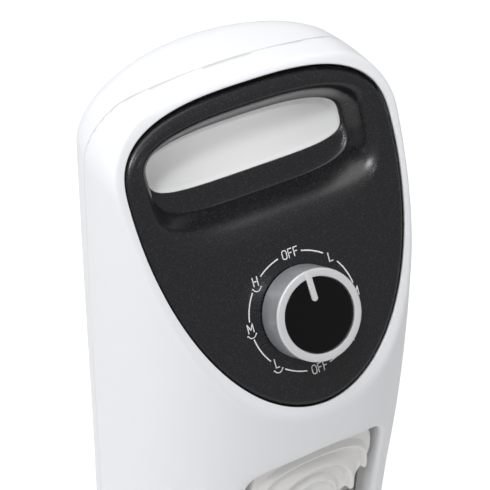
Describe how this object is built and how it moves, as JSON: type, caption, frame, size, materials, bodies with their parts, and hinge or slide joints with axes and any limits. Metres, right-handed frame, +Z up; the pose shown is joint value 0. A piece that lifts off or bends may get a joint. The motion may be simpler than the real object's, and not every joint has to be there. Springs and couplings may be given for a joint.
{
  "type": "oil filled radiator heater",
  "caption": "Compact oil filled column heater: white two-part shell with a sloping control panel, hand slot and rotary dial, a fin window in front, swinging on a round base.",
  "frame": {"origin": "middle of the surface that the base stands on, on the swing axis", "axes": "+Z up along the swing axis; the dial, hand slot and fin window face -Y; +X is to the viewer's right of a person facing the dial"},
  "size_m": [0.27, 0.27, 0.5959],
  "materials": {
    "white_shell": "satin moulded ABS, cool white",
    "panel_black": "semi-gloss charcoal with a fine metallic fleck",
    "knob_silver": "silver lacquered plastic, satin",
    "knob_black": "high gloss black",
    "fin_enamel": "warm off-white powder coat",
    "steel": "zinc plated",
    "black_plastic": "moulded, matt",
    "acetal": "moulded, smooth",
    "rubber": "matt",
    "brass": "turned",
    "lead_sheath": "silicone sheath"
  },
  "bodies": {
    "base": {"base_cover": "white_shell", "base_plate": "steel", "swivel_bush": "acetal", "foot_1": "rubber", "foot_2": "rubber", "foot_3": "rubber", "foot_4": "rubber", "base_screw_1": "steel", "base_screw_2": "steel", "base_screw_3": "steel", "base_screw_4": "steel", "tip_switch": "black_plastic", "plunger_spring": "steel"},
    "column": {"front_shell": "white_shell", "rear_shell": "white_shell", "cable_gland": "black_plastic", "shell_screw_1": "steel", "shell_screw_2": "steel", "shell_screw_3": "steel", "shell_screw_4": "steel", "control_panel": "panel_black", "hand_pocket": "white_shell", "rotary_switch": "black_plastic", "fin_1": "fin_enamel", "fin_2": "fin_enamel", "fin_3": "fin_enamel", "fin_4": "fin_enamel", "fin_5": "fin_enamel", "top_header": "fin_enamel", "bottom_header": "fin_enamel", "filler_plug": "brass", "flange_gasket": "rubber", "element_flange": "brass", "heating_element": "steel", "thermal_cutout": "black_plastic", "heat_baffle": "steel", "top_bracket": "steel", "bottom_bracket": "steel", "column_floor": "black_plastic", "spindle": "steel", "retaining_ring": "steel", "terminal_block": "acetal", "live_lead": "lead_sheath", "neutral_lead": "lead_sheath", "swing_motor": "steel"},
    "knob": {"knob_skirt": "knob_silver", "knob_disc": "knob_black", "knob_pointer": "knob_silver", "knob_shaft": "steel"},
    "crank": {"crank_arm": "acetal", "crank_pin": "steel"},
    "plunger": {"tip_plunger": "acetal"}
  },
  "joints": [
    {"name": "column_swing", "type": "hinge", "parent": "base", "child": "column", "pos_m": [0, 0, 0.03], "axis": [0, 0, 1], "range_deg": [-30, 30]},
    {"name": "knob_turn", "type": "hinge", "parent": "column", "child": "knob", "pos_m": [0, -0.054, 0.502], "axis": [0, -0.829, 0.5592], "continuous": true},
    {"name": "crank_turn", "type": "hinge", "parent": "column", "child": "crank", "pos_m": [0, 0.038, 0.034], "axis": [0, 0, 1], "range_deg": [-102.5, 102.5]},
    {"name": "plunger_travel", "type": "slide", "parent": "base", "child": "plunger", "axis": [0, 0, -1], "range_m": [0, 0.004], "stiffness_N_per_m": 100, "springref_m": 0.006, "deforming": ["plunger_spring"]}
  ],
  "couplings": [
    {"joint": "crank_turn", "follows": "column_swing", "ratio": -3.4}
  ]
}
